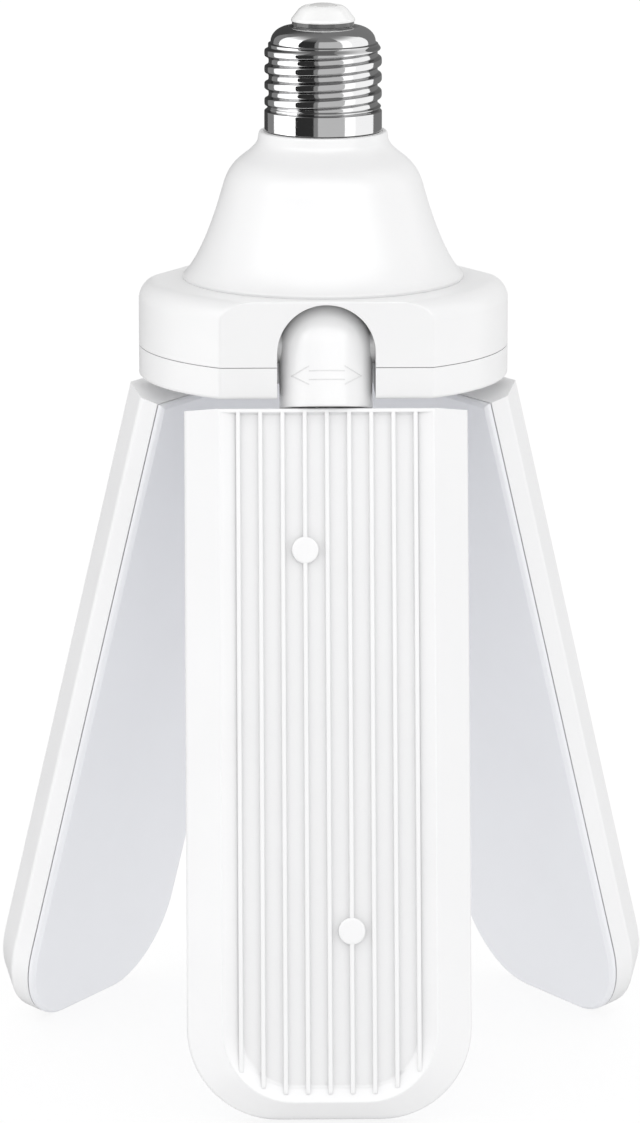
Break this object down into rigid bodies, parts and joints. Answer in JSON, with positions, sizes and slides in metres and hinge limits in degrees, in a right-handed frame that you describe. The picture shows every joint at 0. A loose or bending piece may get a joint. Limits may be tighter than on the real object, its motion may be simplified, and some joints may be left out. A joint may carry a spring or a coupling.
{
  "type": "folding panel lamp",
  "caption": "Screw cap lamp with a bell neck, a round hub and three hinged rectangular light panels with ribbed backs that fold out and swivel.",
  "frame": {"origin": "on the lamp axis at the lower rim of the metal screw cap, where the lampholder takes it", "axes": "+Z along the axis toward the contact tip, the panels hang below; the first hinge and panel face -Y, the others at 120 degree steps"},
  "size_m": [0.1476, 0.1338, 0.2379],
  "materials": {
    "nickel": "bright nickel plate",
    "cap_glass": "white glazed insulator",
    "contact": "pale tinned contact",
    "white_housing": "smooth glossy white",
    "white_knuckle": "smooth glossy white",
    "white_panel": "smooth satin white",
    "milky_diffuser": "milky, slightly lilac",
    "led_board_white": "white printed aluminium board",
    "led_yellow": "yellow phosphor faces",
    "screw_steel": "bright zinc plate",
    "washer_steel": "spring steel",
    "stem_steel": "zinc plate",
    "circuit_board": "green fibre board",
    "capacitor": "dark sleeve",
    "transformer": "yellow taped winding",
    "components": "dark moulded bodies",
    "red_lead": "smooth insulation",
    "white_lead": "smooth insulation"
  },
  "bodies": {
    "lamp_body": {"cap_shell": "nickel", "cap_insulator": "cap_glass", "centre_contact": "contact", "neck_housing": "white_housing", "hub_upper": "white_housing", "hub_lower": "white_housing", "driver_board": "circuit_board", "driver_capacitor": "capacitor", "driver_transformer": "transformer", "driver_components": "components", "driver_screws": "screw_steel", "neck_screws": "screw_steel", "hub_screws": "screw_steel", "cap_leads": "red_lead", "hub_leads": "white_lead"},
    "knuckle_arm_1": {"knuckle_1": "white_knuckle", "knuckle_cover_1": "white_knuckle", "knuckle_screws_1": "screw_steel", "swivel_washer_1": "washer_steel", "knuckle_leads_1": "white_lead"},
    "panel_1": {"panel_back_1": "white_panel", "diffuser_1": "milky_diffuser", "led_board_1": "led_board_white", "led_chips_1": "led_yellow", "board_screws_1": "screw_steel", "swivel_stem_1": "stem_steel", "stem_nut_1": "stem_steel", "panel_leads_1": "white_lead"},
    "knuckle_arm_2": {"knuckle_2": "white_knuckle", "knuckle_cover_2": "white_knuckle", "knuckle_screws_2": "screw_steel", "swivel_washer_2": "washer_steel", "knuckle_leads_2": "white_lead"},
    "panel_2": {"panel_back_2": "white_panel", "diffuser_2": "milky_diffuser", "led_board_2": "led_board_white", "led_chips_2": "led_yellow", "board_screws_2": "screw_steel", "swivel_stem_2": "stem_steel", "stem_nut_2": "stem_steel", "panel_leads_2": "white_lead"},
    "knuckle_arm_3": {"knuckle_3": "white_knuckle", "knuckle_cover_3": "white_knuckle", "knuckle_screws_3": "screw_steel", "swivel_washer_3": "washer_steel", "knuckle_leads_3": "white_lead"},
    "panel_3": {"panel_back_3": "white_panel", "diffuser_3": "milky_diffuser", "led_board_3": "led_board_white", "led_chips_3": "led_yellow", "board_screws_3": "screw_steel", "swivel_stem_3": "stem_steel", "stem_nut_3": "stem_steel", "panel_leads_3": "white_lead"}
  },
  "joints": [
    {"name": "fold_1", "type": "hinge", "parent": "lamp_body", "child": "knuckle_arm_1", "pos_m": [0, -0.0252, -0.0446], "axis": [-1, 0, 0], "range_deg": [-14.75, 75.25]},
    {"name": "swivel_1", "type": "hinge", "parent": "knuckle_arm_1", "child": "panel_1", "pos_m": [0, -0.0252, -0.0446], "axis": [0, 0.2546, 0.967], "range_deg": [-60, 60]},
    {"name": "fold_2", "type": "hinge", "parent": "lamp_body", "child": "knuckle_arm_2", "pos_m": [0.02182, 0.0126, -0.0446], "axis": [0.5, -0.866, 0], "range_deg": [-14.75, 75.25]},
    {"name": "swivel_2", "type": "hinge", "parent": "knuckle_arm_2", "child": "panel_2", "pos_m": [0.02182, 0.0126, -0.0446], "axis": [-0.2205, -0.1273, 0.967], "range_deg": [-60, 60]},
    {"name": "fold_3", "type": "hinge", "parent": "lamp_body", "child": "knuckle_arm_3", "pos_m": [-0.02182, 0.0126, -0.0446], "axis": [0.5, 0.866, 0], "range_deg": [-14.75, 75.25]},
    {"name": "swivel_3", "type": "hinge", "parent": "knuckle_arm_3", "child": "panel_3", "pos_m": [-0.02182, 0.0126, -0.0446], "axis": [0.2205, -0.1273, 0.967], "range_deg": [-60, 60]}
  ]
}
